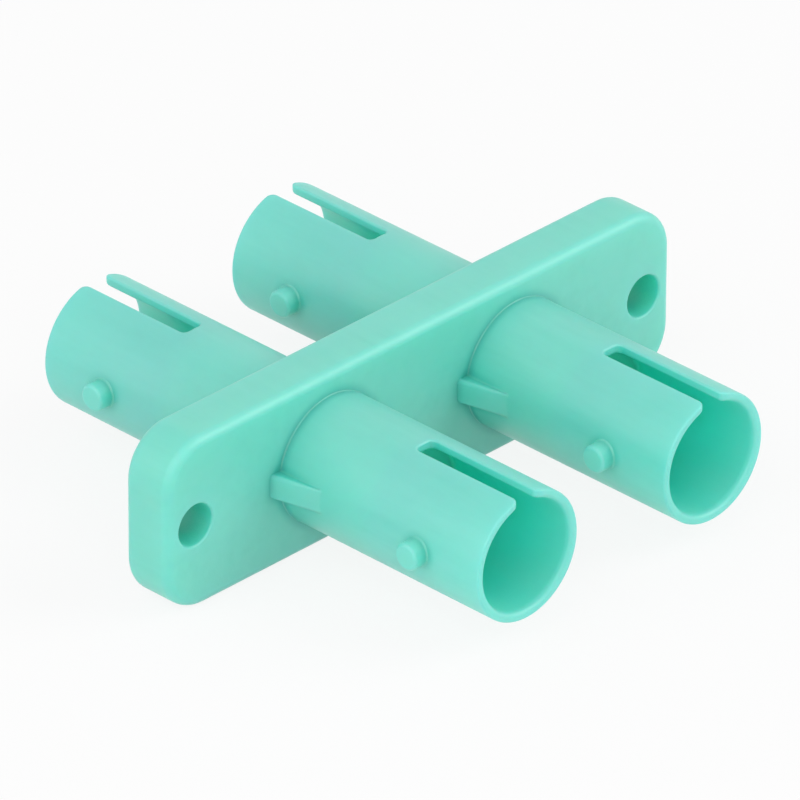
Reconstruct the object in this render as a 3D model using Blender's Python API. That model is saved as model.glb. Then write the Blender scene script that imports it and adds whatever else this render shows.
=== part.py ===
"""Duplex bayonet fibre adapter, flanged, in metres with +Z up.

Two parallel fibre passages run along Y through one moulded body. The flange
stands across them, with its length along X, and is screwed to a panel. From
each face of the flange a pair of thin-walled bayonet barrels stands out. Every
barrel has a key slot along its top, two bayonet pegs at its sides and two
gussets at its root. Deep inside each passage a slit ceramic sleeve lines up
the two ferrules that meet there: it floats in a chamber that is closed by a
lip of the body at the front and by a pressed-in ring at the back.

The origin is the middle of the flange, halfway between the two passages.
"""
import math

import bmesh
import bpy
from mathutils import Matrix, Vector

MM = 0.001

# Flange
PASSAGE_PITCH = 12.7 * MM
SCREW_SPACING = 30.6 * MM
SCREW_HOLE_DIAMETER = 2.2 * MM
SCREW_HOLE_BREAK = 0.12 * MM
FLANGE_END_MARGIN = 1.9 * MM
FLANGE_HEIGHT = 9.2 * MM
FLANGE_THICKNESS = 2.9 * MM
FLANGE_CORNER_RADIUS = 2.5 * MM
FLANGE_EDGE_RADIUS = 0.35 * MM

# Barrels, the same at the front and at the back
BARREL_DIAMETER = 6.75 * MM
BARREL_WALL = 0.5 * MM
BARREL_REACH = 13.05 * MM
RIM_RADIUS = 0.15 * MM
MOUTH_CHAMFER = 0.25 * MM
ROOT_FILLET = 0.25 * MM

# Key slot in the top of each barrel
KEY_SLOT_WIDTH = 1.2 * MM
KEY_SLOT_LENGTH = 6.8 * MM
KEY_SLOT_CORNER = 0.3 * MM
KEY_SLOT_MOUTH_RADIUS = 0.4 * MM

# Bayonet pegs at the sides of each barrel
PEG_DIAMETER = 1.4 * MM
PEG_HEIGHT = 0.78 * MM
PEG_SETBACK = 4.0 * MM
PEG_EDGE_RADIUS = 0.15 * MM

# Gussets between each barrel's sides and the flange
GUSSET_WIDTH = 1.3 * MM
GUSSET_HEIGHT = 0.65 * MM
GUSSET_LENGTH = 2.6 * MM
GUSSET_EDGE_RADIUS = 0.2 * MM

# Alignment sleeve: a slit tube around the two ferrules
FERRULE_DIAMETER = 2.5 * MM
SLEEVE_GRIP = 0.01 * MM
SLEEVE_WALL = 0.355 * MM
SLEEVE_LENGTH = 11.4 * MM
SLEEVE_SLIT = 0.5 * MM
SLEEVE_EDGE = 0.08 * MM
SLEEVE_FLOAT = 0.15 * MM

# Stops at the ends of the sleeve's chamber
STOP_THICKNESS = 1.0 * MM
FERRULE_CLEARANCE = 0.15 * MM
LEAD_IN_WIDTH = 0.5 * MM
LEAD_IN_DEPTH = 0.4 * MM
RING_WALL = 0.8 * MM
RING_CLEARANCE = 0.1 * MM

# Colours and surfaces
AQUA = (0.15, 0.60, 0.50)
OFF_WHITE = (0.82, 0.81, 0.77)
PLASTIC_ROUGHNESS = 0.42
CERAMIC_ROUGHNESS = 0.22
CREASE_ANGLE = 35.0

# How finely round shapes are divided
BARREL_STEPS = 48
SLEEVE_STEPS = 40
SMALL_STEPS = 24
CORNER_STEPS = 8
EDGE_STEPS = 3

# Sizes that follow from the ones above
FLANGE_LENGTH = SCREW_SPACING + 2 * FLANGE_END_MARGIN
HALF_PITCH = PASSAGE_PITCH / 2
HALF_THICKNESS = FLANGE_THICKNESS / 2
BARREL_RADIUS = BARREL_DIAMETER / 2
BORE_RADIUS = BARREL_RADIUS - BARREL_WALL
MOUTH = HALF_THICKNESS + BARREL_REACH
SLEEVE_INNER_RADIUS = FERRULE_DIAMETER / 2 - SLEEVE_GRIP / 2
SLEEVE_OUTER_RADIUS = SLEEVE_INNER_RADIUS + SLEEVE_WALL
CHAMBER_RADIUS = SLEEVE_OUTER_RADIUS + SLEEVE_FLOAT
CHAMBER_END = SLEEVE_LENGTH / 2 + SLEEVE_FLOAT
STOP_BORE_RADIUS = FERRULE_DIAMETER / 2 + FERRULE_CLEARANCE
LEAD_IN_RADIUS = STOP_BORE_RADIUS + LEAD_IN_WIDTH
RING_RADIUS = STOP_BORE_RADIUS + RING_WALL
RING_SEAT_RADIUS = RING_RADIUS + RING_CLEARANCE
SHOULDER = CHAMBER_END + RING_CLEARANCE + STOP_THICKNESS

# How far a piece that is joined or cut runs past the surface it meets
OVERRUN = 0.5 * MM
SINK = 0.02 * MM

# Points closer than this are one point
WELD = 0.0001 * MM

# The two passages in X, the two faces of the flange in Y, the two flanks of a barrel in X
SIDES = {"left": -1, "right": 1}
BARRELS = [(side, face) for side in SIDES.values() for face in (-1, 1)]
FLANKS = (-1, 1)


def clear_scene():
    for item in list(bpy.data.objects):
        bpy.data.objects.remove(item, do_unlink=True)


def surface(name, colour, roughness):
    """A plain material that isn't metal."""
    material = bpy.data.materials.new(name)
    material.use_nodes = True
    shader = material.node_tree.nodes["Principled BSDF"]
    shader.inputs["Base Color"].default_value = (*colour, 1.0)
    shader.inputs["Roughness"].default_value = roughness
    shader.inputs["Metallic"].default_value = 0.0
    return material


def finish(name, bm, material=None):
    """Turn a bmesh into a named object at the origin, shaded smooth between its edges."""
    bmesh.ops.remove_doubles(bm, verts=bm.verts, dist=WELD)
    bmesh.ops.recalc_face_normals(bm, faces=bm.faces)
    mesh = bpy.data.meshes.new(name)
    bm.to_mesh(mesh)
    bm.free()
    mesh.shade_smooth()
    mesh.set_sharp_from_angle(angle=math.radians(CREASE_ANGLE))
    item = bpy.data.objects.new(name, mesh)
    bpy.context.collection.objects.link(item)
    if material:
        mesh.materials.append(material)
    return item


def tool(name, bm):
    """An operand of a Boolean: drawn as wire and left out of the model."""
    item = finish(name, bm)
    item.hide_render = True
    item.display_type = "WIRE"
    return item


def combine(target, operand, operation):
    modifier = target.modifiers.new(f"{operation.lower()} {operand.name}", "BOOLEAN")
    modifier.operation = operation
    modifier.solver = "EXACT"
    modifier.object = operand


def arc(centre, radius, start, end, steps=EDGE_STEPS):
    """Points on an arc in the plane of a profile, angles in degrees."""
    points = []
    for step in range(steps + 1):
        angle = math.radians(start + (end - start) * step / steps)
        points.append((centre[0] + radius * math.cos(angle), centre[1] + radius * math.sin(angle)))
    return points


def add_turned(bm, profile, steps, place, closed=False, turn=360.0):
    """Turn (radius, height) points about the local Z axis and move the result by place."""
    verts = [bm.verts.new(place @ Vector((radius, 0, height))) for radius, height in profile]
    pairs = list(zip(verts, verts[1:] + verts[:1])) if closed else list(zip(verts, verts[1:]))
    geometry = verts + [bm.edges.new(pair) for pair in pairs]
    full = turn >= 360.0
    if not full:
        geometry.append(bm.faces.new(verts))
    bmesh.ops.spin(
        bm,
        geom=geometry,
        cent=place.translation,
        axis=place.to_3x3() @ Vector((0, 0, 1)),
        dvec=(0, 0, 0),
        angle=math.radians(turn),
        steps=steps,
        use_merge=full,
        use_duplicate=False,
    )


def add_extruded(bm, outline, depth, place):
    """Extrude an outline in the local XY plane along local Z."""
    verts = [bm.verts.new(place @ Vector((x, y, 0))) for x, y in outline]
    face = bm.faces.new(verts)
    lifted = bmesh.ops.extrude_face_region(bm, geom=[face])["geom"]
    top = [item for item in lifted if isinstance(item, bmesh.types.BMVert)]
    bmesh.ops.translate(bm, verts=top, vec=place.to_3x3() @ Vector((0, 0, depth)))


def round_edges(bm, edges, radius):
    bmesh.ops.bevel(
        bm,
        geom=edges,
        offset=radius,
        offset_type="OFFSET",
        segments=EDGE_STEPS,
        profile=0.5,
        affect="EDGES",
        material=-1,
    )


def passage(side):
    """Local Z runs along a fibre passage towards the back, local X towards the part's right."""
    return Matrix.Translation((side * HALF_PITCH, 0, 0)) @ Matrix.Rotation(math.radians(-90), 4, "X")


def outline_of_flange():
    """A rounded rectangle in X and Z."""
    half_length = FLANGE_LENGTH / 2 - FLANGE_CORNER_RADIUS
    half_height = FLANGE_HEIGHT / 2 - FLANGE_CORNER_RADIUS
    corners = ((1, 1, 0), (-1, 1, 90), (-1, -1, 180), (1, -1, 270))
    points = []
    for x_sign, z_sign, start in corners:
        centre = (x_sign * half_length, z_sign * half_height)
        points += arc(centre, FLANGE_CORNER_RADIUS, start, start + 90, CORNER_STEPS)
    return points


def flange(material):
    """A plate with rounded corners, whose edges are rounded at both faces."""
    bm = bmesh.new()
    upright = Matrix.Translation((0, HALF_THICKNESS, 0)) @ Matrix.Rotation(math.radians(90), 4, "X")
    add_extruded(bm, outline_of_flange(), FLANGE_THICKNESS, upright)
    rims = [edge for edge in bm.edges if abs(edge.verts[0].co.y - edge.verts[1].co.y) < SINK]
    round_edges(bm, rims, FLANGE_EDGE_RADIUS)
    return finish("adapter_body", bm, material)


def barrel_profile():
    """Half of the outside of a passage, from inside the flange to the back mouth."""
    root = BARREL_RADIUS + ROOT_FILLET
    foot = HALF_THICKNESS - SINK
    fillet = arc((root, foot + ROOT_FILLET), ROOT_FILLET, 270, 180)
    rim = arc((BARREL_RADIUS - RIM_RADIUS, MOUTH - RIM_RADIUS), RIM_RADIUS, 0, 90)
    return [(root, 0)] + fillet + rim + [(0, MOUTH)]


def barrels():
    """The outsides of both passages, which the flange joins."""
    half = barrel_profile()
    mirrored = [(radius, -height) for radius, height in reversed(half)]
    bm = bmesh.new()
    for side in SIDES.values():
        add_turned(bm, mirrored[:-1] + half[1:], BARREL_STEPS, passage(side))
    return tool("barrel_outsides", bm)


def pegs():
    """Bayonet pegs on both flanks of all four barrels, each from inside the wall out."""
    start = BORE_RADIUS / 2
    tip = BARREL_RADIUS + PEG_HEIGHT
    radius = PEG_DIAMETER / 2
    edge = arc((radius - PEG_EDGE_RADIUS, tip - PEG_EDGE_RADIUS), PEG_EDGE_RADIUS, 0, 90)
    profile = [(0, start), (radius, start)] + edge + [(0, tip)]
    bm = bmesh.new()
    for side, face in BARRELS:
        centre = Matrix.Translation((side * HALF_PITCH, face * (MOUTH - PEG_SETBACK), 0))
        for flank in FLANKS:
            outwards = Matrix.Rotation(math.radians(90 * flank), 4, "Y")
            add_turned(bm, profile, SMALL_STEPS, centre @ outwards)
    return tool("bayonet_pegs", bm)


def gussets():
    """Wedges from the flange's faces out along both flanks of all four barrels.

    One wedge is drawn beside the origin, as if a passage ran there, and copied to its places.
    """
    inside = BORE_RADIUS / 2
    foot = HALF_THICKNESS - OVERRUN
    end = HALF_THICKNESS + GUSSET_LENGTH + OVERRUN
    slope = GUSSET_HEIGHT / GUSSET_LENGTH
    crest_at_foot = BARREL_RADIUS + GUSSET_HEIGHT + slope * OVERRUN
    crest_at_end = BARREL_RADIUS - slope * OVERRUN
    outline = [(inside, foot), (crest_at_foot, foot), (crest_at_end, end), (inside, end)]
    bm = bmesh.new()
    add_extruded(bm, outline, GUSSET_WIDTH, Matrix.Translation((0, 0, -GUSSET_WIDTH / 2)))
    crests = []
    for edge in bm.edges:
        first, second = (vert.co for vert in edge.verts)
        if min(first.x, second.x) > inside + SINK and abs(first.y - second.y) > SINK:
            crests.append(edge)
    round_edges(bm, crests, GUSSET_EDGE_RADIUS)
    wedge = bm.verts[:] + bm.edges[:] + bm.faces[:]
    drawn = bm.verts[:]
    for side, face in BARRELS:
        for flank in FLANKS:
            copied = bmesh.ops.duplicate(bm, geom=wedge)["geom"]
            verts = [item for item in copied if isinstance(item, bmesh.types.BMVert)]
            mirrored = Matrix.Diagonal((flank, face, 1, 1))
            place = Matrix.Translation((side * HALF_PITCH, 0, 0)) @ mirrored
            bmesh.ops.transform(bm, matrix=place, verts=verts)
    bmesh.ops.delete(bm, geom=drawn, context="VERTS")
    return tool("root_gussets", bm)


def passage_bores():
    """The hollow of each passage: both barrels' bores, the stops, the chamber and the ring's seat."""
    front = [
        (0, -MOUTH - OVERRUN),
        (BORE_RADIUS + MOUTH_CHAMFER + OVERRUN, -MOUTH - OVERRUN),
        (BORE_RADIUS, -MOUTH + MOUTH_CHAMFER),
        (BORE_RADIUS, -SHOULDER),
        (LEAD_IN_RADIUS, -SHOULDER),
        (STOP_BORE_RADIUS, -SHOULDER + LEAD_IN_DEPTH),
        (STOP_BORE_RADIUS, -CHAMBER_END),
        (CHAMBER_RADIUS, -CHAMBER_END),
    ]
    back = [
        (CHAMBER_RADIUS, CHAMBER_END),
        (RING_SEAT_RADIUS, CHAMBER_END),
        (RING_SEAT_RADIUS, SHOULDER),
        (BORE_RADIUS, SHOULDER),
        (BORE_RADIUS, MOUTH - MOUTH_CHAMFER),
        (BORE_RADIUS + MOUTH_CHAMFER + OVERRUN, MOUTH + OVERRUN),
        (0, MOUTH + OVERRUN),
    ]
    bm = bmesh.new()
    for side in SIDES.values():
        add_turned(bm, front + back, BARREL_STEPS, passage(side))
    return tool("passage_bores", bm)


def key_slots():
    """Slots through the top of all four barrels, open at the mouth and rounded at their corners."""
    half = KEY_SLOT_WIDTH / 2
    blind = half - KEY_SLOT_CORNER
    blind_end = MOUTH - KEY_SLOT_LENGTH + KEY_SLOT_CORNER
    open_corner = half + KEY_SLOT_MOUTH_RADIUS
    open_end = MOUTH - KEY_SLOT_MOUTH_RADIUS
    right = arc((blind, blind_end), KEY_SLOT_CORNER, 270, 360)
    right += arc((open_corner, open_end), KEY_SLOT_MOUTH_RADIUS, 180, 90)
    right.append((open_corner, MOUTH + OVERRUN))
    left = [(-x, y) for x, y in reversed(right)]
    bm = bmesh.new()
    for side, face in BARRELS:
        towards_mouth = Matrix.Rotation(math.radians(0 if face > 0 else 180), 4, "Z")
        place = Matrix.Translation((side * HALF_PITCH, 0, BORE_RADIUS / 2)) @ towards_mouth
        add_extruded(bm, right + left, BARREL_RADIUS, place)
    return tool("key_slots", bm)


def screw_holes():
    """Plain holes through the ends of the flange, with their edges broken."""
    radius = SCREW_HOLE_DIAMETER / 2
    half = [
        (radius, HALF_THICKNESS - SCREW_HOLE_BREAK),
        (radius + SCREW_HOLE_BREAK + OVERRUN, HALF_THICKNESS + OVERRUN),
        (0, HALF_THICKNESS + OVERRUN),
    ]
    mirrored = [(distance, -height) for distance, height in reversed(half)]
    bm = bmesh.new()
    for side in SIDES.values():
        centre = Matrix.Translation((side * SCREW_SPACING / 2, 0, 0))
        through = Matrix.Rotation(math.radians(-90), 4, "X")
        add_turned(bm, mirrored + half, SMALL_STEPS, centre @ through)
    return tool("screw_holes", bm)


def adapter_body(material):
    """One moulding: the flange joined to all that stands out of it, then slotted and bored."""
    body = flange(material)
    for operand in (barrels(), pegs(), gussets()):
        combine(body, operand, "UNION")
    for operand in (key_slots(), screw_holes(), passage_bores()):
        combine(body, operand, "DIFFERENCE")
    return body


def alignment_sleeve(side_name, material):
    """A slit tube with broken end edges, its slit upwards."""
    inner, outer = SLEEVE_INNER_RADIUS, SLEEVE_OUTER_RADIUS
    end = SLEEVE_LENGTH / 2
    profile = [
        (inner, -end + SLEEVE_EDGE),
        (inner + SLEEVE_EDGE, -end),
        (outer - SLEEVE_EDGE, -end),
        (outer, -end + SLEEVE_EDGE),
        (outer, end - SLEEVE_EDGE),
        (outer - SLEEVE_EDGE, end),
        (inner + SLEEVE_EDGE, end),
        (inner, end - SLEEVE_EDGE),
    ]
    slit_angle = math.degrees(2 * math.asin(SLEEVE_SLIT / (inner + outer)))
    beside_slit = Matrix.Rotation(math.radians(-90 + slit_angle / 2), 4, "Z")
    place = passage(SIDES[side_name]) @ beside_slit
    bm = bmesh.new()
    add_turned(bm, profile, SLEEVE_STEPS, place, closed=True, turn=360 - slit_angle)
    return finish(f"alignment_sleeve_{side_name}", bm, material)


def sleeve_retainer(side_name, material):
    """The ring that closes the chamber at the back, flush with the shoulder around it."""
    profile = [
        (STOP_BORE_RADIUS, SHOULDER - STOP_THICKNESS),
        (RING_RADIUS, SHOULDER - STOP_THICKNESS),
        (RING_RADIUS, SHOULDER),
        (LEAD_IN_RADIUS, SHOULDER),
        (STOP_BORE_RADIUS, SHOULDER - LEAD_IN_DEPTH),
    ]
    bm = bmesh.new()
    add_turned(bm, profile, SLEEVE_STEPS, passage(SIDES[side_name]), closed=True)
    return finish(f"sleeve_retainer_{side_name}", bm, material)


def main():
    clear_scene()
    body_plastic = surface("aqua_plastic", AQUA, PLASTIC_ROUGHNESS)
    ring_plastic = surface("aqua_plastic_ring", AQUA, PLASTIC_ROUGHNESS)
    ceramic = surface("white_ceramic", OFF_WHITE, CERAMIC_ROUGHNESS)
    adapter_body(body_plastic)
    for side_name in SIDES:
        alignment_sleeve(side_name, ceramic)
        sleeve_retainer(side_name, ring_plastic)


main()
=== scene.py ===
# %% [markdown]
# # A duplex fibre adapter in aqua plastic
# The real part is one moulding: a thin rounded flange with two fibre passages
# through it, and on each face a pair of thin bayonet barrels. Two ceramic
# sleeves and the rings that hold them are hidden inside.
#
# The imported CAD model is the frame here. It has every size right, but flat
# facets and few rounded edges. It could be smoothed with modifiers, which would
# soften what has to stay crisp. So each piece is drawn again at the same size,
# finely divided and with its real small radii, and it stands for its CAD node.

# %% Load the frame
import math

import bmesh
import bpy
from mathutils import Matrix, Vector


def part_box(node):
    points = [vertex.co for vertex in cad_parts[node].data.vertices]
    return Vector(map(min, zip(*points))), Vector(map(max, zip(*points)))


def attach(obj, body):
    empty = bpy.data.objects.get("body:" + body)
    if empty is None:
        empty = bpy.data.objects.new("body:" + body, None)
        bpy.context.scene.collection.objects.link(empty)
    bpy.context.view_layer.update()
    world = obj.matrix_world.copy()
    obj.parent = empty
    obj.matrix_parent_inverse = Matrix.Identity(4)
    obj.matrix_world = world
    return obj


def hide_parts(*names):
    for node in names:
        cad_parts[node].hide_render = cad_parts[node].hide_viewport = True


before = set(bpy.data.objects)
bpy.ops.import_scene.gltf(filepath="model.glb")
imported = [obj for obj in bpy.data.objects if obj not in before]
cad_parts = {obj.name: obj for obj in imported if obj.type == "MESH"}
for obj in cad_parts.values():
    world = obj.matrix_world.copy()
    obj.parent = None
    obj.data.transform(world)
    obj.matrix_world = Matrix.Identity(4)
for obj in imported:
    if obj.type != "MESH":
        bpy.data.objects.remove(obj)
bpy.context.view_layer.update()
print("CAD nodes:", ", ".join(sorted(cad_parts)))

# %% [markdown]
# ## Sizes
# Small parts are easier to think about in millimetres, so all shapes are drawn
# in millimetres and made a thousand times smaller when they become objects.
# The outermost sizes are read from the frame, so that they can't drift from it.
# The others could be read from its mesh too, but a list of plain numbers tells
# more about the part: these are the sizes a toolmaker would ask for.

# %% Sizes of the flange and the barrels
MM = 0.001
half_length, mouth, half_height = (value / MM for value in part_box("adapter_body")[1])

PITCH = 12.7
HALF_THICKNESS = 1.45
FLANGE_CORNER = 2.5
FLANGE_EDGE = 0.5
SCREW_SPACING = 30.6
SCREW_HOLE_RADIUS = 1.1
SCREW_HOLE_EDGE = 0.14

BARREL_RADIUS = 3.375
WALL = 0.5
BORE_RADIUS = BARREL_RADIUS - WALL
RIM_EDGE = 0.13
MOUTH_REACH = 0.4
MOUTH_WIDENING = 0.2
ROOT_FILLET = 0.08

# How deep the barrels and what they carry are rooted in the part below them
BARREL_ROOT = 0.9
GUSSET_ROOT = 0.5
SKIN_ROOT = 0.2
print(f"flange {2 * half_length:.1f} x {2 * half_height:.1f} mm, depth {2 * mouth:.1f} mm")

# %% Sizes of what the barrels carry
SLOT_WIDTH = 1.2
SLOT_LENGTH = 6.8
SLOT_CORNER = 0.3
SLOT_MOUTH_CORNER = 0.4

PEG_RADIUS = 0.7
PEG_HEIGHT = 0.78
PEG_SETBACK = 4.0
PEG_EDGE = 0.18
PEG_FILLET = 0.12

GUSSET_WIDTH = 1.3
GUSSET_HEIGHT = 0.65
GUSSET_LENGTH = 2.6
GUSSET_EDGE = 0.2
GUSSET_FILLET = 0.12

# %% Sizes of the inside
SHOULDER = 6.95
CHAMBER_END = 5.85
CHAMBER_RADIUS = 1.75
CHAMBER_EDGE = 0.05
BORE_FILLET = 0.2
STOP_BORE = 1.4
RING_SEAT = 2.3
RING_RADIUS = 2.2
LEAD_IN = 0.5
LEAD_IN_DEPTH = 0.4
LEAD_IN_EDGE = 0.1
SLEEVE_INNER = 1.245
SLEEVE_OUTER = 1.6
SLEEVE_HALF = 5.7
SLEEVE_SLIT = 0.5
SLEEVE_EDGE = 0.08
RING_LENGTH = 1.0
RING_EDGE = 0.05
print(f"passages {PITCH} mm apart, each bored {2 * BORE_RADIUS:.2f} mm wide at its mouths")

# %% How finely round shapes are divided
ROUND_STEPS = 144
SMALL_STEPS = 64
CORNER_STEPS = 16
ARC_STEPS = 7
FINE_ARC_STEPS = 4
ROW_LENGTH = 1.0

# How far one shape dips into the next where the two are fused
DIP = 0.006

# Points closer than this are one point: where a spin closes, and after a Boolean
SEAM_WELD = 0.0005
SLIVER_WELD = 0.0001

# %% [markdown]
# ## Outlines with rounded corners
# Nearly every edge of a moulding is rounded, because a sharp one would crack the
# part and wear the mould. The roundings could all be made with the bevel
# operator once a solid is there. That suits straight edges. Where the section is
# drawn first and then turned or extruded, it is simpler to draw each corner with
# its radius at once, so one helper turns corner points into arcs.


# %% A helper for outlines
def rounded(corners, steps=ARC_STEPS):
    """Turn corners (x, y, radius) of a closed outline into points, each corner an arc."""
    points = []
    for index, (x, y, radius) in enumerate(corners):
        corner = Vector((x, y))
        if radius == 0:
            points.append(corner)
            continue
        back = (Vector(corners[index - 1][:2]) - corner).normalized()
        ahead = (Vector(corners[(index + 1) % len(corners)][:2]) - corner).normalized()
        half_angle = back.angle(ahead) / 2
        reach = radius / math.tan(half_angle)
        centre = corner + (back + ahead).normalized() * (radius / math.sin(half_angle))
        start = corner + back * reach - centre
        end = corner + ahead * reach - centre
        points += [centre + radius * start.slerp(end, step / steps) for step in range(steps + 1)]
    return points


square = [(0, 0, 1), (9, 0, 1), (9, 9, 1), (0, 9, 1)]
print("a square with round corners has", len(rounded(square)), "points")

# %% [markdown]
# ## From an outline to a solid
# Two operators make most of the part: extrude for the flange and the gussets,
# spin for all that is round. Both start from the points of an outline.


# %% Extrude an outline
def extruded(bm, outline, place, depth):
    """Extrude an outline in the local XY plane along local Z. Returns the new points."""
    verts = [bm.verts.new(place @ Vector((x, y, 0))) for x, y in outline]
    face = bm.faces.new(verts)
    lifted = bmesh.ops.extrude_face_region(bm, geom=[face])["geom"]
    top = [item for item in lifted if isinstance(item, bmesh.types.BMVert)]
    bmesh.ops.translate(bm, verts=top, vec=place.to_3x3() @ Vector((0, 0, depth)))
    return verts + top


# %% Spin an outline
def turned(bm, outline, place=Matrix(), steps=ROUND_STEPS, turn=math.tau):
    """Spin (radius, height) points about local Z. Points at radius 0 close the ends."""
    verts = [bm.verts.new(place @ Vector((radius, 0, height))) for radius, height in outline]
    pairs = zip(range(len(verts)), [*range(1, len(verts)), 0])
    geometry = list(verts)
    for first, second in pairs:
        if outline[first][0] > 0 or outline[second][0] > 0:
            geometry.append(bm.edges.new((verts[first], verts[second])))
    full = turn == math.tau
    if not full:
        geometry.append(bm.faces.new(verts))
    bmesh.ops.spin(
        bm,
        geom=geometry,
        cent=place.translation,
        axis=place.to_3x3() @ Vector((0, 0, 1)),
        dvec=(0, 0, 0),
        angle=turn,
        steps=steps,
        use_merge=full,
        use_duplicate=False,
    )


# %% Round the edges of a solid
def soften(bm, edges, radius, segments):
    bmesh.ops.bevel(
        bm,
        geom=edges,
        offset=radius,
        offset_type="OFFSET",
        segments=segments,
        profile=0.5,
        affect="EDGES",
        material=-1,
    )


# %% Make a bmesh an object
def solid(name, bm):
    """Weld the seams, point all faces outwards, and make an object at the origin."""
    bmesh.ops.remove_doubles(bm, verts=bm.verts, dist=SEAM_WELD)
    bmesh.ops.recalc_face_normals(bm, faces=bm.faces)
    mesh = bpy.data.meshes.new(name)
    bm.to_mesh(mesh)
    bm.free()
    piece = bpy.data.objects.new(name, mesh)
    bpy.context.scene.collection.objects.link(piece)
    return piece


# %% [markdown]
# ## The flange
# A plate of 2.9 mm with round corners, and its edges rounded on both faces. The
# outline is drawn in X and Z and extruded along Y. The bevel operator then
# rounds the two rims, which are the edges that don't run along Y.

# %% Draw the flange
flange_corners = [
    (half_length, half_height, FLANGE_CORNER),
    (-half_length, half_height, FLANGE_CORNER),
    (-half_length, -half_height, FLANGE_CORNER),
    (half_length, -half_height, FLANGE_CORNER),
]
bm = bmesh.new()
upright = Matrix.Translation((0, HALF_THICKNESS, 0)) @ Matrix.Rotation(math.radians(90), 4, "X")
extruded(bm, rounded(flange_corners, CORNER_STEPS), upright, 2 * HALF_THICKNESS)
rims = [edge for edge in bm.edges if abs(edge.verts[0].co.y - edge.verts[1].co.y) < DIP]
soften(bm, rims, FLANGE_EDGE, segments=6)
moulding = solid("moulded_body", bm)
print("flange faces:", len(moulding.data.polygons))

# %% [markdown]
# ## The holes in the flange
# Each screw hole is plain, with a rounded edge at both faces. The two passages
# are opened here too, a little narrower than the hubs that fill them later. A hole
# could be made by bridging two loops. A Boolean with a turned plug is simpler,
# and the plug's own flared ends leave the rounded edge.

# %% Turn the plugs
# The plug's wide heads stay outside the plate and only leave the rounded edge
HEAD = 1
head_radius = SCREW_HOLE_RADIUS + HEAD
surface = HALF_THICKNESS + DIP
head_end = HALF_THICKNESS + HEAD
hole = [
    (0, -head_end, 0),
    (head_radius, -head_end, 0),
    (head_radius, -surface, 0),
    (SCREW_HOLE_RADIUS, -surface, SCREW_HOLE_EDGE),
    (SCREW_HOLE_RADIUS, surface, SCREW_HOLE_EDGE),
    (head_radius, surface, 0),
    (head_radius, head_end, 0),
    (0, head_end, 0),
]
HUB_RADIUS = BORE_RADIUS + WALL / 2
OPENING_RADIUS = HUB_RADIUS - 0.1
OPENING_HALF = 2
opening = [
    (0, -OPENING_HALF),
    (OPENING_RADIUS, -OPENING_HALF),
    (OPENING_RADIUS, OPENING_HALF),
    (0, OPENING_HALF),
]


def along_y(x):
    """A place at x whose local Z runs along Y, the way the passages run."""
    return Matrix.Translation((x, 0, 0)) @ Matrix.Rotation(math.radians(-90), 4, "X")


plugs = bmesh.new()
for side in (-1, 1):
    turned(plugs, rounded(hole), along_y(side * SCREW_SPACING / 2), SMALL_STEPS)
    turned(plugs, opening, along_y(side * PITCH / 2), SMALL_STEPS)
plug_set = solid("plugs", plugs)
print("plug faces:", len(plug_set.data.polygons))

# %% [markdown]
# ## A barrel, made like a tinsmith would
# Each barrel is a tube of 0.5 mm wall, with a key slot from its mouth to halfway
# down. The slot has round corners, and all its edges are softened. It could be
# cut from a finished tube with a Boolean, but the cut would leave hard edges
# that are difficult to round afterwards. So the wall is drawn as a flat sheet
# with a notch, where rounding every edge is easy, and then rolled up.

# %% Draw the flat sheet
half_round = math.pi * BARREL_RADIUS
half_slot = BARREL_RADIUS * math.asin(SLOT_WIDTH / 2 / BARREL_RADIUS)
slot_end = mouth - SLOT_LENGTH
foot = HALF_THICKNESS - BARREL_ROOT
sheet_corners = [
    (-half_round, foot, 0),
    (half_round, foot, 0),
    (half_round, mouth, 0),
    (half_slot, mouth, SLOT_MOUTH_CORNER),
    (half_slot, slot_end, SLOT_CORNER),
    (-half_slot, slot_end, SLOT_CORNER),
    (-half_slot, mouth, SLOT_MOUTH_CORNER),
    (-half_round, mouth, 0),
]
sheet = bmesh.new()
extruded(sheet, rounded(sheet_corners), Matrix(), -WALL)
print("sheet:", round(2 * half_round, 2), "x", round(mouth - foot, 2), "mm, flat")


# %% Round its rim and its slot
def is_free(edge):
    """True for the edges along the rim and the notch, on either face of the sheet."""
    first, second = (vert.co for vert in edge.verts)
    level = abs(first.z - second.z) < DIP
    on_seam = abs(first.x - second.x) < DIP and abs(first.x) > half_round - DIP
    at_foot = max(first.y, second.y) < foot + DIP
    return level and not on_seam and not at_foot


free_edges = [edge for edge in sheet.edges if is_free(edge)]
soften(sheet, free_edges, RIM_EDGE, segments=4)
print("rounded", len(free_edges), "edges of the sheet")


# %% Cut it into strips
def score(bm, axis, value):
    """Cut all faces where the plane axis = value passes, and keep both sides."""
    bmesh.ops.bisect_plane(
        bm,
        geom=bm.verts[:] + bm.edges[:] + bm.faces[:],
        dist=0.0001,
        plane_co=axis * value,
        plane_no=axis,
    )


across, along = Vector((1, 0, 0)), Vector((0, 1, 0))
for strip in range(1, ROUND_STEPS):
    score(sheet, across, half_round * (2 * strip / ROUND_STEPS - 1))
for step in range(ARC_STEPS + 1):
    share = 1 - math.cos(math.radians(90 * step / ARC_STEPS))
    score(sheet, along, HALF_THICKNESS - DIP + ROOT_FILLET * share)
    score(sheet, along, mouth - MOUTH_REACH * share)
rows = math.ceil((mouth - HALF_THICKNESS) / ROW_LENGTH)
for row in range(1, rows):
    score(sheet, along, HALF_THICKNESS + row * (mouth - HALF_THICKNESS) / rows)

# The two ends of the sheet meet when it is rolled, so they stay open for the weld
ends = [face for face in sheet.faces if all(abs(v.co.x) > half_round - DIP for v in face.verts)]
bmesh.ops.delete(sheet, geom=ends, context="FACES")
print("the sheet is now", len(sheet.faces), "faces")

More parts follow.
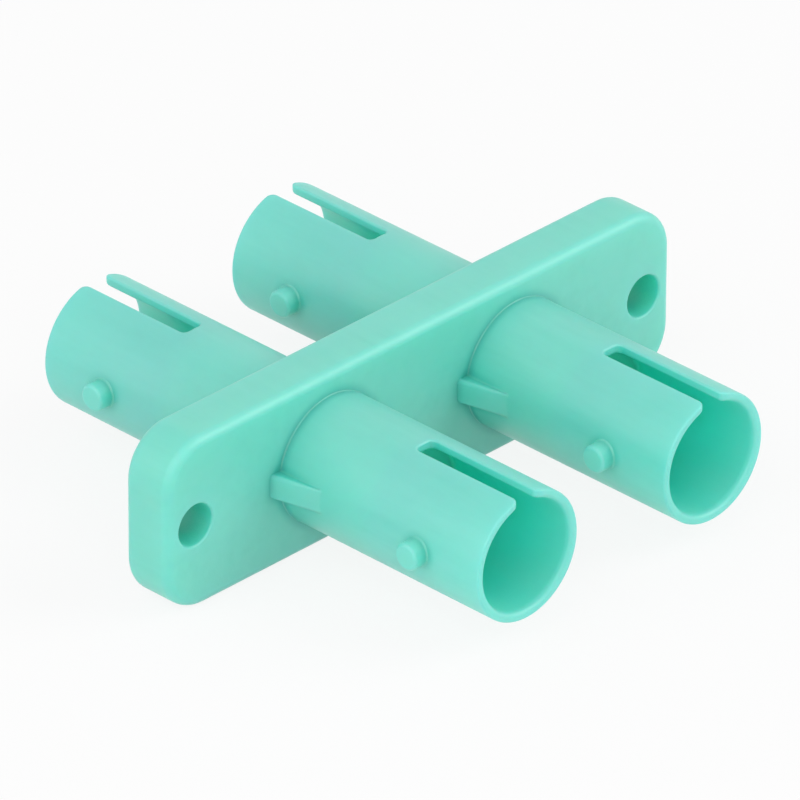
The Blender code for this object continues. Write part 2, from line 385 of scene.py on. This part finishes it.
# %% [markdown]
# Rolling is one move of every point: the distance across the sheet becomes an
# angle. Near the slot the inner face has to turn a little further than the outer
# one, or the slot's sides would lean like the sides of a wedge. At the foot, the
# outer face flares out in a quarter circle: the fillet where the barrel meets
# the flange. At the mouth, the inner face widens in the same way, so that a
# connector finds its way in.


# %% Roll a point of the sheet
def smoothstep(value, low, high):
    share = min(1.0, max(0.0, (value - low) / (high - low)))
    return share * share * (3 - 2 * share)


def flare(distance, reach):
    """A quarter round that falls from 1 at distance 0 to 0 at its reach."""
    share = min(1.0, max(0.0, 1 - distance / reach))
    return 1 - math.sqrt(1 - share * share)


SLOT_SIDE_END, PLAIN_START = math.radians(25), math.radians(55)


def roll(point):
    """A point of the flat sheet on the tube: X across, Y along it, Z up."""
    angle = point.x / BARREL_RADIUS
    radius = BARREL_RADIUS + point.z
    near_slot = 1 - smoothstep(abs(angle), SLOT_SIDE_END, PLAIN_START)
    if near_slot > 0:
        level = math.asin(min(1.0, BARREL_RADIUS * math.sin(abs(angle)) / radius))
        angle += math.copysign(near_slot * (level - abs(angle)), angle)
    if point.z > -WALL / 2:
        radius += ROOT_FILLET * flare(point.y - HALF_THICKNESS + DIP, ROOT_FILLET)
    inwards = -point.z / WALL
    radius += inwards * MOUTH_WIDENING * flare(mouth - point.y, MOUTH_REACH)
    return Vector((radius * math.sin(angle), point.y, radius * math.cos(angle)))


print("the slot's edge lands at x =", round(roll(Vector((half_slot, mouth, 0))).x, 3), "mm")

# %% Roll up four barrels
flat = bpy.data.meshes.new("flat_sheet")
sheet.to_mesh(flat)
sheet.free()
barrels = []
for side in (-1, 1):
    for face in (-1, 1):
        bm = bmesh.new()
        bm.from_mesh(flat)
        for vert in bm.verts:
            rolled = roll(vert.co)
            vert.co = (rolled.x + side * PITCH / 2, rolled.y * face, rolled.z)
        barrels.append(solid("barrel", bm))
bpy.data.meshes.remove(flat)
print("barrels:", len(barrels), "each of", len(barrels[0].data.polygons), "faces")

# %% [markdown]
# ## The hub inside each passage
# Halfway along each passage the moulding is thick. It has a chamber for the
# ceramic sleeve, a lip that stops the sleeve at the front, and a wider seat at
# the back for the ring that closes it. All of that is one section, so it is
# turned. Its ends are the shoulders that a connector's nose runs up to, with a
# small fillet against the barrel's bore.

# %% Turn the hubs
hub_section = [
    (STOP_BORE, -CHAMBER_END, CHAMBER_EDGE),
    (STOP_BORE, -SHOULDER + LEAD_IN_DEPTH, LEAD_IN_EDGE),
    (STOP_BORE + LEAD_IN, -SHOULDER, LEAD_IN_EDGE),
    (BORE_RADIUS + DIP, -SHOULDER, BORE_FILLET),
    (BORE_RADIUS + DIP, -SHOULDER - 2 * BORE_FILLET, 0),
    (HUB_RADIUS, -SHOULDER - 2 * BORE_FILLET, 0),
    (HUB_RADIUS, SHOULDER + 2 * BORE_FILLET, 0),
    (BORE_RADIUS + DIP, SHOULDER + 2 * BORE_FILLET, 0),
    (BORE_RADIUS + DIP, SHOULDER, BORE_FILLET),
    (RING_SEAT, SHOULDER, CHAMBER_EDGE),
    (RING_SEAT, CHAMBER_END, CHAMBER_EDGE),
    (CHAMBER_RADIUS, CHAMBER_END, CHAMBER_EDGE),
    (CHAMBER_RADIUS, -CHAMBER_END, CHAMBER_EDGE),
]
hubs = []
for side in (-1, 1):
    bm = bmesh.new()
    turned(bm, rounded(hub_section, FINE_ARC_STEPS), along_y(side * PITCH / 2))
    hubs.append(solid("hub", bm))
print("hub faces:", len(hubs[0].data.polygons))


# %% [markdown]
# ## The bayonet pegs
# A peg stands out of each flank of each barrel, and the coupling nut of a
# connector turns behind it. It is round, with a softened top and a small fillet
# at its foot. It is turned standing on a flat ground, and then its foot is bent
# down to the barrel's round surface.


# %% Bend a foot onto the barrel
def fall(z):
    """How far the barrel's surface lies below its highest line, at z to the side."""
    return BARREL_RADIUS - math.sqrt(BARREL_RADIUS**2 - z * z)


def on_flank(point, side, face, flank):
    """A point (along, sideways, height above the flank) on one of the eight flanks."""
    along_barrel, sideways, height = point
    x = side * PITCH / 2 + flank * (BARREL_RADIUS + height)
    return Vector((x, face * along_barrel, sideways))


print("the surface falls", round(fall(PEG_RADIUS), 3), "mm at the peg's side")

# %% Turn the pegs
peg_section = [
    (0, -SKIN_ROOT, 0),
    (PEG_RADIUS + 2 * PEG_FILLET, -SKIN_ROOT, 0),
    (PEG_RADIUS + 2 * PEG_FILLET, -DIP, 0),
    (PEG_RADIUS, -DIP, PEG_FILLET),
    (PEG_RADIUS, PEG_HEIGHT, PEG_EDGE),
    (0, PEG_HEIGHT, 0),
]
additions = []
for side in (-1, 1):
    for face in (-1, 1):
        for flank in (-1, 1):
            bm = bmesh.new()
            turned(bm, rounded(peg_section), steps=SMALL_STEPS)
            for vert in bm.verts:
                if vert.co.z < PEG_HEIGHT / 2:
                    vert.co.z -= fall(vert.co.y)
                along_barrel = vert.co.x + mouth - PEG_SETBACK
                vert.co = on_flank((along_barrel, vert.co.y, vert.co.z), side, face, flank)
            additions.append(solid("peg", bm))
print("pegs:", len(additions))

# %% [markdown]
# ## The gussets
# At the root of each flank a wedge stiffens the corner between barrel and
# flange. Its section is a low block with soft shoulders and a fillet on both
# sides. The section is extruded along the barrel, and its height is then drawn
# down evenly to nothing at the thin end.

# %% Draw the gussets
half_width = GUSSET_WIDTH / 2
brim = half_width + 2 * GUSSET_FILLET
gusset_section = [
    (-brim, -SKIN_ROOT, 0),
    (-brim, -DIP, 0),
    (-half_width, -DIP, GUSSET_FILLET),
    (-half_width, GUSSET_HEIGHT, GUSSET_EDGE),
    (half_width, GUSSET_HEIGHT, GUSSET_EDGE),
    (half_width, -DIP, GUSSET_FILLET),
    (brim, -DIP, 0),
    (brim, -SKIN_ROOT, 0),
]
OVERRUN = 0.15
start = HALF_THICKNESS - GUSSET_ROOT
end = HALF_THICKNESS + GUSSET_LENGTH + OVERRUN
for side in (-1, 1):
    for face in (-1, 1):
        for flank in (-1, 1):
            bm = bmesh.new()
            extruded(bm, rounded(gusset_section), Matrix(), end - start)
            for vert in bm.verts:
                sideways, height, along_barrel = vert.co.x, vert.co.y, vert.co.z + start
                if height > 0:
                    height *= 1 - (along_barrel - HALF_THICKNESS) / GUSSET_LENGTH
                    height += fall(sideways) * height / GUSSET_HEIGHT
                height -= fall(sideways)
                vert.co = on_flank((along_barrel, sideways, height), side, face, flank)
            additions.append(solid("gusset", bm))
print("pegs and gussets:", len(additions))

# %% [markdown]
# ## One moulding
# The real body is one piece of plastic, so the shapes are fused into one skin:
# first the plugs are taken out of the flange, and then the barrels, hubs, pegs
# and gussets are joined to it. They could simply be left stuck into each other,
# but light that enters plastic would then meet walls that aren't there.


# %% Apply modifiers
def apply_modifiers(piece):
    depsgraph = bpy.context.evaluated_depsgraph_get()
    result = bpy.data.meshes.new_from_object(piece.evaluated_get(depsgraph))
    result.name = piece.name
    piece.modifiers.clear()
    old, piece.data = piece.data, result
    bpy.data.meshes.remove(old)


# %% Join and cut
def fuse(target, operands, operation):
    """Join the operands to the target or cut them out, and weld points that coincide."""
    for operand in operands:
        modifier = target.modifiers.new(operand.name, "BOOLEAN")
        modifier.operation = operation
        modifier.solver = "MANIFOLD"
        modifier.object = operand
    apply_modifiers(target)
    bm = bmesh.new()
    bm.from_mesh(target.data)
    bmesh.ops.remove_doubles(bm, verts=bm.verts, dist=SLIVER_WELD)
    bm.to_mesh(target.data)
    bm.free()
    for operand in operands:
        mesh = operand.data
        bpy.data.objects.remove(operand)
        bpy.data.meshes.remove(mesh)


fuse(moulding, [plug_set], "DIFFERENCE")
fuse(moulding, barrels + hubs + additions, "UNION")
print("moulding:", len(moulding.data.polygons), "faces")

# %% [markdown]
# ## Smooth shading
# Smooth shading blends the directions of neighbouring faces. On a big flat face
# beside a narrow rounding that would tint the whole flat. The Weighted Normal
# modifier lets the larger face decide, so flats stay flat and only the rounding
# carries the bend. Edges sharper than 40 degrees stay creases. It is applied
# while the piece is still in millimetres, because its sums lose their accuracy
# on faces of a millionth of a square metre.


# %% A helper that finishes a piece
CREASE = math.radians(40)
AREA_WEIGHT = 80


def finish_piece(piece, node):
    """Shade a piece, bring it to metres, and let it stand for its CAD node."""
    piece.data.shade_smooth()
    piece.data.set_sharp_from_angle(angle=CREASE)
    modifier = piece.modifiers.new("flats stay flat", "WEIGHTED_NORMAL")
    modifier.mode = "FACE_AREA"
    modifier.weight = AREA_WEIGHT
    modifier.keep_sharp = True
    apply_modifiers(piece)
    piece.data.transform(Matrix.Scale(MM, 4))
    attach(piece, "root")
    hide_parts(node)
    print(piece.name, "in mm:", [round(size / MM, 2) for size in piece.dimensions])


finish_piece(moulding, "adapter_body")

# %% [markdown]
# ## The ceramic sleeves
# In each chamber a slit tube of white ceramic lines up the two ferrules. It is a
# tube with a gap, so its wall section is spun almost all the way round. The
# spin starts at one side of the slit and stops at the other.

# %% Turn the sleeves
slit_angle = 2 * math.asin(SLEEVE_SLIT / (SLEEVE_INNER + SLEEVE_OUTER))
sleeve_section = [
    (SLEEVE_INNER, -SLEEVE_HALF, SLEEVE_EDGE),
    (SLEEVE_OUTER, -SLEEVE_HALF, SLEEVE_EDGE),
    (SLEEVE_OUTER, SLEEVE_HALF, SLEEVE_EDGE),
    (SLEEVE_INNER, SLEEVE_HALF, SLEEVE_EDGE),
]
beside_slit = Matrix.Rotation(math.radians(-90) + slit_angle / 2, 4, "Z")
sleeves = []
for side, side_name in ((-1, "left"), (1, "right")):
    bm = bmesh.new()
    start_place = along_y(side * PITCH / 2) @ beside_slit
    turned(bm, rounded(sleeve_section, FINE_ARC_STEPS), start_place, turn=math.tau - slit_angle)
    sleeve = solid(f"ceramic_sleeve_{side_name}", bm)
    finish_piece(sleeve, f"alignment_sleeve_{side_name}")
    sleeves.append(sleeve)

# %% [markdown]
# ## The retaining rings
# A ring of the same plastic closes each chamber from the back, flush with the
# shoulder around it. It has the same cone at its mouth as the lip at the front,
# so that a ferrule finds its way in from both sides.

# %% Turn the rings
ring_section = [
    (STOP_BORE, SHOULDER - RING_LENGTH, RING_EDGE),
    (RING_RADIUS, SHOULDER - RING_LENGTH, RING_EDGE),
    (RING_RADIUS, SHOULDER, RING_EDGE),
    (STOP_BORE + LEAD_IN, SHOULDER, RING_EDGE),
    (STOP_BORE, SHOULDER - LEAD_IN_DEPTH, RING_EDGE),
]
rings = []
for side, side_name in ((-1, "left"), (1, "right")):
    bm = bmesh.new()
    turned(bm, rounded(ring_section, FINE_ARC_STEPS), along_y(side * PITCH / 2))
    ring = solid(f"retaining_ring_{side_name}", bm)
    finish_piece(ring, f"sleeve_retainer_{side_name}")
    rings.append(ring)

# %% [markdown]
# ## Helpers for materials
# A material is a small network of nodes. Three helpers keep the cells below
# short: one starts a material, one adds a node with its settings, and one reads
# the piece's own coordinates in millimetres, so that a noise with a scale of 2
# has two bumps to the millimetre.


# %% Start a material and add nodes
def new_material(name):
    material = bpy.data.materials.new(name)
    material.use_nodes = True
    tree = material.node_tree
    return material, tree, tree.nodes["Principled BSDF"]


def add(tree, kind, inputs=None, **settings):
    """Add a node. Inputs are numbers, or sockets of other nodes to link from."""
    node = tree.nodes.new(kind)
    for key, value in settings.items():
        setattr(node, key, value)
    for key, value in (inputs or {}).items():
        if isinstance(value, bpy.types.NodeSocket):
            tree.links.new(value, node.inputs[key])
        else:
            node.inputs[key].default_value = value
    return node


def in_mm(tree, stretch=(1, 1, 1)):
    """The piece's coordinates in millimetres, stretched by the given factors."""
    coordinates = add(tree, "ShaderNodeTexCoord").outputs["Object"]
    scale = [factor / MM for factor in stretch]
    return add(tree, "ShaderNodeMapping", {"Vector": coordinates, "Scale": scale}).outputs[0]


def noise(tree, coordinates, scale, low, high, detail=3.0):
    """Smooth noise between two values, with scale bumps to the millimetre."""
    inputs = {"Vector": coordinates, "Scale": scale, "Detail": detail, "Roughness": 0.55}
    fac = add(tree, "ShaderNodeTexNoise", inputs).outputs["Fac"]
    ends = {"Value": fac, "From Min": 0.3, "From Max": 0.7, "To Min": low, "To Max": high}
    return add(tree, "ShaderNodeMapRange", ends).outputs[0]


# %% [markdown]
# ## Aqua plastic
# The moulding is a satin plastic in aqua. Seen close, such a part isn't one
# colour. It has faint clouds where the pigment is denser, streaks along the
# barrels where the melt flowed, and a fine grain that the spark-cut mould left
# on it. Part of the light also goes a little way into it, which makes the thin
# barrels glow from inside. Painting those effects on an image would fix them to
# one view, so they come from noise at their real scale and from subsurface
# scattering. The scattering has a weight of 0.6: with more of it the small edges
# would glow like wax, and with none the mouths of the barrels would be too dark.

# %% Colours of the plastic
AQUA_DENSE = (0.140, 0.636, 0.530, 1)
AQUA_THIN = (0.164, 0.674, 0.567, 1)

# How far red, green and blue light travels in the plastic, in millimetres
GLOW_DEPTH = (0.5, 3.0, 2.1)

# %% Make the plastic
plastic, tree, shader = new_material("satin_aqua_plastic")
here = in_mm(tree)
clouds = noise(tree, here, 0.3, 0.0, 1.0)
streaks = noise(tree, in_mm(tree, (1, 0.12, 1)), 1.6, 0.0, 1.0, detail=4)
both = add(tree, "ShaderNodeMath", {0: clouds, 1: streaks}, operation="MULTIPLY").outputs[0]
tint = add(tree, "ShaderNodeMix", {0: both, 6: AQUA_THIN, 7: AQUA_DENSE}, data_type="RGBA")
shader.inputs["Subsurface Weight"].default_value = 0.6
shader.inputs["Subsurface Radius"].default_value = GLOW_DEPTH
shader.inputs["Subsurface Scale"].default_value = MM
shader.inputs["IOR"].default_value = 1.5
shader.inputs["Specular IOR Level"].default_value = 0.8
shader.inputs["Coat Weight"].default_value = 0.5
shader.inputs["Coat Roughness"].default_value = 0.6
shader.inputs["Coat IOR"].default_value = 1.5

# %% [markdown]
# In hollows the plastic is drawn darker and deeper in colour than in the open, and
# this is painted shade: inside the barrels and the screw holes the colour loses its
# red, and at the roots of the barrels and gussets it turns darker too, where less
# light reaches. The renderer follows that light only roughly, so the shade is
# painted into the colour. The hollows could be painted by hand. An Ambient
# Occlusion node finds them by itself: it measures how free the space around a
# point is within some distance, and counts the walls of this piece alone.


# %% Find the hollows
def openness(tree, reach, closed, free):
    """From 0 in a hollow of this reach in millimetres to 1 in the open."""
    inputs = {"Distance": reach * MM}
    space = add(tree, "ShaderNodeAmbientOcclusion", inputs, only_local=True, samples=8)
    ends = {"Value": space.outputs["AO"], "From Min": closed, "From Max": free}
    return add(tree, "ShaderNodeMapRange", ends).outputs[0]


# %% Paint shade into the barrels' bores, then the screw holes, then the corners
# Each painted shade has a colour and a reach in millimetres. Then come the share of
# free space at which the colour is full, and the share from which there is none of it.
PAINTED_SHADE_IN_HOLLOWS = [
    ((0.045, 0.72, 0.58, 1), 7.0, 0.2, 0.62),
    ((0.0, 0.46, 0.38, 1), 2.4, 0.15, 0.5),
    ((0.04, 0.48, 0.42, 1), 0.5, 0.35, 1.0),
]
colour = tint.outputs[2]
# Each pass mixes a painted shade colour over the plastic where the space closes in.
for shade_colour, reach, closed, free in PAINTED_SHADE_IN_HOLLOWS:
    inputs = {0: openness(tree, reach, closed, free), 6: shade_colour, 7: colour}
    colour = add(tree, "ShaderNodeMix", inputs, data_type="RGBA").outputs[2]
    print("deepened within", reach, "mm")
tree.links.new(colour, shader.inputs["Base Color"])

# %% Give it its grain
SMOOTHEST, ROUGHEST = 0.42, 0.5
GRAIN_SCALE, GRAIN_DEPTH = 7.0, 0.006
polish = noise(tree, here, 0.7, SMOOTHEST, ROUGHEST)
tree.links.new(polish, shader.inputs["Roughness"])
grain = noise(tree, here, GRAIN_SCALE, 0.0, 1.0, detail=5)
relief = {"Height": grain, "Strength": 0.35, "Distance": GRAIN_DEPTH * MM}
tree.links.new(add(tree, "ShaderNodeBump", relief).outputs[0], shader.inputs["Normal"])
for piece in (moulding, *rings):
    piece.data.materials.clear()
    piece.data.materials.append(plastic)
print("plastic nodes:", len(tree.nodes))

# %% [markdown]
# ## White ceramic
# The sleeves are zirconia, ground round and polished. It is an off-white, nearly
# glossy material with a trace of the grinding left as very fine rings around the
# tube. The rings are noise that is stretched flat across the tube's axis.

# %% Make the ceramic
CERAMIC_PALE = (0.84, 0.83, 0.79, 1)
CERAMIC_WARM = (0.78, 0.76, 0.70, 1)
GRINDING_SCALE, GRINDING_DEPTH = 18.0, 0.002
ceramic, tree, shader = new_material("polished_ceramic")
here = in_mm(tree)
clouds = noise(tree, here, 0.8, 0.0, 1.0)
tint = add(tree, "ShaderNodeMix", {0: clouds, 6: CERAMIC_PALE, 7: CERAMIC_WARM}, data_type="RGBA")
tree.links.new(tint.outputs[2], shader.inputs["Base Color"])
tree.links.new(noise(tree, here, 2.5, 0.16, 0.28), shader.inputs["Roughness"])
grinding = noise(tree, in_mm(tree, (0.02, 1, 0.02)), GRINDING_SCALE, 0.0, 1.0)
relief = {"Height": grinding, "Strength": 0.3, "Distance": GRINDING_DEPTH * MM}
tree.links.new(add(tree, "ShaderNodeBump", relief).outputs[0], shader.inputs["Normal"])
for piece in sleeves:
    piece.data.materials.clear()
    piece.data.materials.append(ceramic)
print("ceramic nodes:", len(tree.nodes))

# %% [markdown]
# ## The floor
# The photograph has a pure white ground. A white floor under plain light comes
# out light grey, and more light would wash out the part as well. So what the
# camera sees of the floor is mostly a white of its own, and the rest is real
# white paint that still takes the part's shadow. All other rays see the paint
# alone, so the floor lights the part as any white table would.

# %% Lay the floor
FLOOR_PAINT = (0.9, 0.9, 0.9, 1)
FLOOR_GAP = 0.02
FLOOR_RADIUS = 3000
bm = bmesh.new()
bmesh.ops.create_circle(bm, cap_ends=True, segments=96, radius=FLOOR_RADIUS)
bmesh.ops.translate(bm, verts=bm.verts, vec=(0, 0, -half_height - FLOOR_GAP))
bmesh.ops.scale(bm, verts=bm.verts, vec=(MM, MM, MM))
mesh = bpy.data.meshes.new("floor")
bm.to_mesh(mesh)
bm.free()
floor = bpy.data.objects.new("floor", mesh)
bpy.context.scene.collection.objects.link(floor)
print("floor at z =", round(floor.data.vertices[0].co.z / MM, 2), "mm")


# %% Tell apart the rays that look from the rays that light
def looking_ray(tree):
    """1 for rays from the camera, in a mirror or through glass, and 0 for the rest."""
    path = add(tree, "ShaderNodeLightPath").outputs
    either = {0: path["Is Camera Ray"], 1: path["Is Glossy Ray"]}
    first = add(tree, "ShaderNodeMath", either, operation="MAXIMUM").outputs[0]
    either = {0: first, 1: path["Is Transmission Ray"]}
    return add(tree, "ShaderNodeMath", either, operation="MAXIMUM").outputs[0]


# %% Paint the floor
OWN_WHITE = 0.86
paint, tree, shader = new_material("floor_paint")
shader.inputs["Base Color"].default_value = FLOOR_PAINT
shader.inputs["Roughness"].default_value = 0.9
shader.inputs["Specular IOR Level"].default_value = 0.0
white = add(tree, "ShaderNodeEmission", {"Color": (1, 1, 1, 1), "Strength": 1.0})
share = {0: looking_ray(tree), 1: OWN_WHITE}
share = add(tree, "ShaderNodeMath", share, operation="MULTIPLY").outputs[0]
seen = {0: share, 1: shader.outputs[0], 2: white.outputs[0]}
seen = add(tree, "ShaderNodeMixShader", seen)
tree.links.new(seen.outputs[0], tree.nodes["Material Output"].inputs["Surface"])
floor.data.materials.append(paint)

# %% [markdown]
# ## Light
# The photograph has no hard shadow and hardly any highlight, so half of the light
# comes from all around: a white world. The other half comes from four soft lamps,
# each 40 cm wide and 60 cm away. One stands near the camera and lights the mouths
# of the barrels, two stand to the left, one high and one low, and one to the
# right. The scene was rendered with one light at a time, and the strengths are
# the mix of those pictures that comes nearest to the photograph.

# %% Light the world
SKY_STRENGTH = 0.5
world = bpy.data.worlds.new("white_room")
bpy.context.scene.world = world
world.use_nodes = True
tree = world.node_tree
background = tree.nodes["Background"]
background.inputs["Color"].default_value = (1, 1, 1, 1)
level = {"Value": looking_ray(tree), "To Min": SKY_STRENGTH, "To Max": 1.0}
level = add(tree, "ShaderNodeMapRange", level).outputs[0]
tree.links.new(level, background.inputs["Strength"])


# %% Hang the lamps
LAMP_DISTANCE = 600
LAMP_SIZE = 400


def direction(azimuth, elevation):
    """A unit vector from the part. Azimuth 0 is in front and 90 to the right."""
    around, up = math.radians(azimuth), math.radians(elevation)
    level = math.cos(up)
    return Vector((math.sin(around) * level, -math.cos(around) * level, math.sin(up)))


def softbox(name, azimuth, elevation, power):
    """A square lamp that faces the part."""
    lamp = bpy.data.lights.new(name, "AREA")
    lamp.shape = "SQUARE"
    lamp.size = LAMP_SIZE * MM
    lamp.energy = power
    place = direction(azimuth, elevation)
    holder = bpy.data.objects.new(name, lamp)
    holder.matrix_world = place.to_track_quat("Z", "Y").to_matrix().to_4x4()
    holder.location = place * LAMP_DISTANCE * MM
    bpy.context.scene.collection.objects.link(holder)


softbox("front_lamp", -45, 30, 0.8)
softbox("high_left_lamp", -90, 45, 0.66)
softbox("low_left_lamp", -110, 20, 0.46)
softbox("right_lamp", 43, 35, 1.38)
print("lamps:", len(bpy.data.lights))

# %% [markdown]
# ## The camera
# The camera looks at the part's left front corner from 30 degrees above, with a
# long lens, so that the near and the far barrels look almost equally large. Its
# distance, direction and place come from a fit of the part's outline to the
# photograph. A camera can be shifted to frame the part. Here it is moved
# sideways instead, so that other views keep the part in the middle.

# %% Place the camera
AZIMUTH, ELEVATION, ROLL = -45.76, 30.21, 0.31
DISTANCE = 629.0
IMAGE_SIDE = 800
PIXELS_PER_MM = 20.91
AIM = (401.6, 398.4)
SENSOR = 36.0

around = math.radians(AZIMUTH)
backwards = direction(AZIMUTH, ELEVATION)
rightwards = Vector((math.cos(around), math.sin(around), 0))
upwards = backwards.cross(rightwards)
level_view = Matrix((rightwards, upwards, backwards)).transposed()
turned_view = level_view @ Matrix.Rotation(math.radians(ROLL), 3, "Z")
middle = IMAGE_SIDE / 2
aside, above = (middle - AIM[0]) / PIXELS_PER_MM, (AIM[1] - middle) / PIXELS_PER_MM
offset = Vector((aside, above, DISTANCE))

camera = bpy.data.objects.new("photo_camera", bpy.data.cameras.new("photo_camera"))
camera.matrix_world = Matrix.Translation(turned_view @ offset * MM) @ turned_view.to_4x4()
camera.data.sensor_width = SENSOR
camera.data.lens = PIXELS_PER_MM * DISTANCE * SENSOR / IMAGE_SIDE
camera.data.clip_start = 0.01
camera.data.clip_end = 20
bpy.context.scene.collection.objects.link(camera)
bpy.context.scene.camera = camera
bpy.context.scene.view_settings.view_transform = "Standard"
print("lens:", round(camera.data.lens), "mm")

# %% Finish
bpy.context.view_layer.update()
